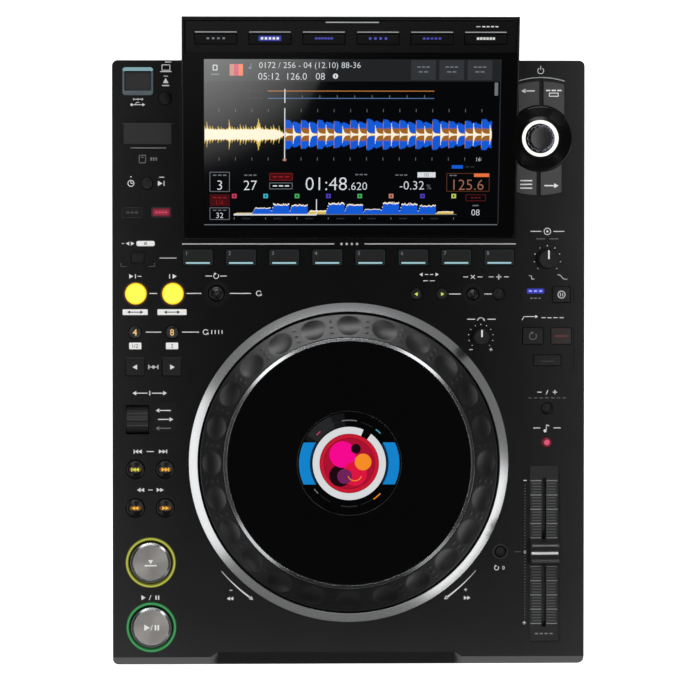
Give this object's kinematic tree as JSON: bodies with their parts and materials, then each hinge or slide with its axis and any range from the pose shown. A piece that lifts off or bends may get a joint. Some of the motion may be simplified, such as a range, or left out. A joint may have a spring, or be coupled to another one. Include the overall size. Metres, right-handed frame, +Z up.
{
  "type": "tabletop media deck",
  "caption": "Tabletop deck for mixing music: jog wheel, tilted screen, tempo slider, transport buttons and doors for memory card and stick.",
  "frame": {"origin": "on the surface it stands on, under the middle of its overall box", "axes": "+X to the right and +Y to the rear as the user sees it, +Z up"},
  "size_m": [0.329, 0.45, 0.1173],
  "materials": {
    "chassis": "satin black powder coat",
    "panel": "matte black, fine texture",
    "housing": "satin black",
    "housing_gloss": "gloss black",
    "cover_glass": "black edged cover glass, gloss",
    "rim_metal": "satin silver",
    "hub_gloss": "gloss black window",
    "board": "green solder mask",
    "socket": "black moulded",
    "light_guide": "clear, lit from below",
    "foot_rubber": "matte",
    "screw_steel": "zinc plated",
    "small_key": "satin black",
    "trim_gloss": "gloss black",
    "dial_rubber": "soft matte black",
    "jog_chrome": "polished",
    "plate_gloss": "gloss black",
    "door": "dark grey",
    "spun_metal": "spun finish",
    "selector_gloss": "gloss black, fluted",
    "knob": "soft black with a white mark",
    "slider_cap": "satin black with a white line",
    "lever": "dark grey",
    "loop_light": "lit yellow",
    "key_gloss": "gloss black",
    "key_matte": "matte black",
    "pad": "dark rubber with a lit strip"
  },
  "bodies": {
    "case": {"bottom_case": "chassis", "top_case": "panel", "display_case": "housing", "display_bezel": "housing_gloss", "display_panel": "cover_glass", "jog_rim": "rim_metal", "jog_hub": "hub_gloss", "circuit_boards": "board", "rear_sockets": "socket", "light_guides": "light_guide", "feet": "foot_rubber", "screws": "screw_steel", "small_keys": "small_key", "panel_trims": "trim_gloss"},
    "jog_wheel": {"jog_dial": "dial_rubber", "jog_ring": "jog_chrome", "jog_plate": "plate_gloss"},
    "tempo_slider": {"tempo_slider": "slider_cap"},
    "direction_lever": {"direction_lever": "lever"},
    "card_door": {"card_door": "door"},
    "stick_door": {"stick_door": "door"},
    "selector_shaft": {"selector_shaft": "screw_steel"},
    "selector_knob": {"selector_knob": "selector_gloss"},
    "vinyl_speed_knob": {"vinyl_speed_knob": "knob"},
    "jog_adjust_knob": {"jog_adjust_knob": "knob"},
    "cue_button": {"cue_button": "spun_metal"},
    "play_button": {"play_button": "spun_metal"},
    "in_button": {"in_button": "loop_light"},
    "out_button": {"out_button": "loop_light"},
    "reloop_button": {"reloop_button": "key_gloss"},
    "loop_four_button": {"loop_four_button": "key_gloss"},
    "loop_eight_button": {"loop_eight_button": "key_gloss"},
    "jump_back_button": {"jump_back_button": "key_matte"},
    "jump_forward_button": {"jump_forward_button": "key_matte"},
    "track_back_button": {"track_back_button": "key_gloss"},
    "track_forward_button": {"track_forward_button": "key_gloss"},
    "search_back_button": {"search_back_button": "key_gloss"},
    "search_forward_button": {"search_forward_button": "key_gloss"},
    "jog_mode_button": {"jog_mode_button": "key_matte"},
    "sync_button": {"sync_button": "key_matte"},
    "master_button": {"master_button": "key_matte"},
    "key_sync_button": {"key_sync_button": "key_matte"},
    "call_back_button": {"call_back_button": "key_matte"},
    "call_forward_button": {"call_forward_button": "key_matte"},
    "delete_button": {"delete_button": "key_gloss"},
    "memory_button": {"memory_button": "key_matte"},
    "tempo_range_button": {"tempo_range_button": "key_matte"},
    "master_tempo_button": {"master_tempo_button": "key_matte"},
    "browse_key_1": {"browse_key_1": "key_matte"},
    "browse_key_2": {"browse_key_2": "key_matte"},
    "browse_key_3": {"browse_key_3": "key_matte"},
    "browse_key_4": {"browse_key_4": "key_matte"},
    "cue_pad_1": {"cue_pad_1": "pad"},
    "cue_pad_2": {"cue_pad_2": "pad"},
    "cue_pad_3": {"cue_pad_3": "pad"},
    "cue_pad_4": {"cue_pad_4": "pad"},
    "cue_pad_5": {"cue_pad_5": "pad"},
    "cue_pad_6": {"cue_pad_6": "pad"},
    "cue_pad_7": {"cue_pad_7": "pad"},
    "cue_pad_8": {"cue_pad_8": "pad"}
  },
  "joints": [
    {"name": "jog_turn", "type": "hinge", "parent": "case", "child": "jog_wheel", "pos_m": [0, -0.0835, 0.07], "axis": [0, 0, 1], "continuous": true},
    {"name": "tempo_slide", "type": "slide", "parent": "case", "child": "tempo_slider", "axis": [0, 1, 0], "range_m": [-0.05, 0.05]},
    {"name": "direction_tilt", "type": "hinge", "parent": "case", "child": "direction_lever", "pos_m": [-0.1471, -0.0534, 0.0635], "axis": [1, 0, 0], "range_deg": [-12, 12]},
    {"name": "card_door_hinge", "type": "hinge", "parent": "case", "child": "card_door", "pos_m": [-0.1399, 0.1525, 0.0662], "axis": [-1, 0, 0], "range_deg": [0, 90]},
    {"name": "stick_door_hinge", "type": "hinge", "parent": "case", "child": "stick_door", "pos_m": [-0.1465, 0.18795, 0.066], "axis": [-1, 0, 0], "range_deg": [0, 90]},
    {"name": "selector_push", "type": "slide", "parent": "case", "child": "selector_shaft", "axis": [0, 0, 1], "range_m": [-0.0008, 0], "stiffness_N_per_m": 300, "springref_m": 0.0004},
    {"name": "selector_turn", "type": "hinge", "parent": "selector_shaft", "child": "selector_knob", "pos_m": [0.1332, 0.1423, 0.075], "axis": [0, 0, 1], "continuous": true},
    {"name": "vinyl_speed_turn", "type": "hinge", "parent": "case", "child": "vinyl_speed_knob", "pos_m": [0.1386, 0.0583, 0.07], "axis": [0, 0, 1], "range_deg": [-140, 140]},
    {"name": "jog_adjust_turn", "type": "hinge", "parent": "case", "child": "jog_adjust_knob", "pos_m": [0.0922, 0.0042, 0.07], "axis": [0, 0, 1], "range_deg": [-140, 140]},
    {"name": "cue_press", "type": "slide", "parent": "case", "child": "cue_button", "axis": [0, 0, 1], "range_m": [-0.0012, 0], "stiffness_N_per_m": 400, "springref_m": 0.0004},
    {"name": "play_press", "type": "slide", "parent": "case", "child": "play_button", "axis": [0, 0, 1], "range_m": [-0.0012, 0], "stiffness_N_per_m": 400, "springref_m": 0.0004},
    {"name": "in_press", "type": "slide", "parent": "case", "child": "in_button", "axis": [0, 0, 1], "range_m": [-0.001, 0], "stiffness_N_per_m": 200, "springref_m": 0.0004},
    {"name": "out_press", "type": "slide", "parent": "case", "child": "out_button", "axis": [0, 0, 1], "range_m": [-0.001, 0], "stiffness_N_per_m": 200, "springref_m": 0.0004},
    {"name": "reloop_press", "type": "slide", "parent": "case", "child": "reloop_button", "axis": [0, 0, 1], "range_m": [-0.001, 0], "stiffness_N_per_m": 200, "springref_m": 0.0004},
    {"name": "loop_four_press", "type": "slide", "parent": "case", "child": "loop_four_button", "axis": [0, 0, 1], "range_m": [-0.001, 0], "stiffness_N_per_m": 200, "springref_m": 0.0004},
    {"name": "loop_eight_press", "type": "slide", "parent": "case", "child": "loop_eight_button", "axis": [0, 0, 1], "range_m": [-0.001, 0], "stiffness_N_per_m": 200, "springref_m": 0.0004},
    {"name": "jump_back_press", "type": "slide", "parent": "case", "child": "jump_back_button", "axis": [0, 0, 1], "range_m": [-0.001, 0], "stiffness_N_per_m": 200, "springref_m": 0.0004},
    {"name": "jump_forward_press", "type": "slide", "parent": "case", "child": "jump_forward_button", "axis": [0, 0, 1], "range_m": [-0.001, 0], "stiffness_N_per_m": 200, "springref_m": 0.0004},
    {"name": "track_back_press", "type": "slide", "parent": "case", "child": "track_back_button", "axis": [0, 0, 1], "range_m": [-0.001, 0], "stiffness_N_per_m": 200, "springref_m": 0.0004},
    {"name": "track_forward_press", "type": "slide", "parent": "case", "child": "track_forward_button", "axis": [0, 0, 1], "range_m": [-0.001, 0], "stiffness_N_per_m": 200, "springref_m": 0.0004},
    {"name": "search_back_press", "type": "slide", "parent": "case", "child": "search_back_button", "axis": [0, 0, 1], "range_m": [-0.001, 0], "stiffness_N_per_m": 200, "springref_m": 0.0004},
    {"name": "search_forward_press", "type": "slide", "parent": "case", "child": "search_forward_button", "axis": [0, 0, 1], "range_m": [-0.001, 0], "stiffness_N_per_m": 200, "springref_m": 0.0004},
    {"name": "jog_mode_press", "type": "slide", "parent": "case", "child": "jog_mode_button", "axis": [0, 0, 1], "range_m": [-0.001, 0], "stiffness_N_per_m": 200, "springref_m": 0.0004},
    {"name": "sync_press", "type": "slide", "parent": "case", "child": "sync_button", "axis": [0, 0, 1], "range_m": [-0.001, 0], "stiffness_N_per_m": 200, "springref_m": 0.0004},
    {"name": "master_press", "type": "slide", "parent": "case", "child": "master_button", "axis": [0, 0, 1], "range_m": [-0.001, 0], "stiffness_N_per_m": 200, "springref_m": 0.0004},
    {"name": "key_sync_press", "type": "slide", "parent": "case", "child": "key_sync_button", "axis": [0, 0, 1], "range_m": [-0.001, 0], "stiffness_N_per_m": 200, "springref_m": 0.0004},
    {"name": "call_back_press", "type": "slide", "parent": "case", "child": "call_back_button", "axis": [0, 0, 1], "range_m": [-0.001, 0], "stiffness_N_per_m": 200, "springref_m": 0.0004},
    {"name": "call_forward_press", "type": "slide", "parent": "case", "child": "call_forward_button", "axis": [0, 0, 1], "range_m": [-0.001, 0], "stiffness_N_per_m": 200, "springref_m": 0.0004},
    {"name": "delete_press", "type": "slide", "parent": "case", "child": "delete_button", "axis": [0, 0, 1], "range_m": [-0.001, 0], "stiffness_N_per_m": 200, "springref_m": 0.0004},
    {"name": "memory_press", "type": "slide", "parent": "case", "child": "memory_button", "axis": [0, 0, 1], "range_m": [-0.001, 0], "stiffness_N_per_m": 200, "springref_m": 0.0004},
    {"name": "tempo_range_press", "type": "slide", "parent": "case", "child": "tempo_range_button", "axis": [0, 0, 1], "range_m": [-0.001, 0], "stiffness_N_per_m": 200, "springref_m": 0.0004},
    {"name": "master_tempo_press", "type": "slide", "parent": "case", "child": "master_tempo_button", "axis": [0, 0, 1], "range_m": [-0.001, 0], "stiffness_N_per_m": 200, "springref_m": 0.0004},
    {"name": "browse_key_1_press", "type": "slide", "parent": "case", "child": "browse_key_1", "axis": [0, 0, 1], "range_m": [-0.001, 0], "stiffness_N_per_m": 200, "springref_m": 0.0004},
    {"name": "browse_key_2_press", "type": "slide", "parent": "case", "child": "browse_key_2", "axis": [0, 0, 1], "range_m": [-0.001, 0], "stiffness_N_per_m": 200, "springref_m": 0.0004},
    {"name": "browse_key_3_press", "type": "slide", "parent": "case", "child": "browse_key_3", "axis": [0, 0, 1], "range_m": [-0.001, 0], "stiffness_N_per_m": 200, "springref_m": 0.0004},
    {"name": "browse_key_4_press", "type": "slide", "parent": "case", "child": "browse_key_4", "axis": [0, 0, 1], "range_m": [-0.001, 0], "stiffness_N_per_m": 200, "springref_m": 0.0004},
    {"name": "cue_pad_1_press", "type": "slide", "parent": "case", "child": "cue_pad_1", "axis": [0, 0, 1], "range_m": [-0.001, 0], "stiffness_N_per_m": 200, "springref_m": 0.0004},
    {"name": "cue_pad_2_press", "type": "slide", "parent": "case", "child": "cue_pad_2", "axis": [0, 0, 1], "range_m": [-0.001, 0], "stiffness_N_per_m": 200, "springref_m": 0.0004},
    {"name": "cue_pad_3_press", "type": "slide", "parent": "case", "child": "cue_pad_3", "axis": [0, 0, 1], "range_m": [-0.001, 0], "stiffness_N_per_m": 200, "springref_m": 0.0004},
    {"name": "cue_pad_4_press", "type": "slide", "parent": "case", "child": "cue_pad_4", "axis": [0, 0, 1], "range_m": [-0.001, 0], "stiffness_N_per_m": 200, "springref_m": 0.0004},
    {"name": "cue_pad_5_press", "type": "slide", "parent": "case", "child": "cue_pad_5", "axis": [0, 0, 1], "range_m": [-0.001, 0], "stiffness_N_per_m": 200, "springref_m": 0.0004},
    {"name": "cue_pad_6_press", "type": "slide", "parent": "case", "child": "cue_pad_6", "axis": [0, 0, 1], "range_m": [-0.001, 0], "stiffness_N_per_m": 200, "springref_m": 0.0004},
    {"name": "cue_pad_7_press", "type": "slide", "parent": "case", "child": "cue_pad_7", "axis": [0, 0, 1], "range_m": [-0.001, 0], "stiffness_N_per_m": 200, "springref_m": 0.0004},
    {"name": "cue_pad_8_press", "type": "slide", "parent": "case", "child": "cue_pad_8", "axis": [0, 0, 1], "range_m": [-0.001, 0], "stiffness_N_per_m": 200, "springref_m": 0.0004}
  ]
}
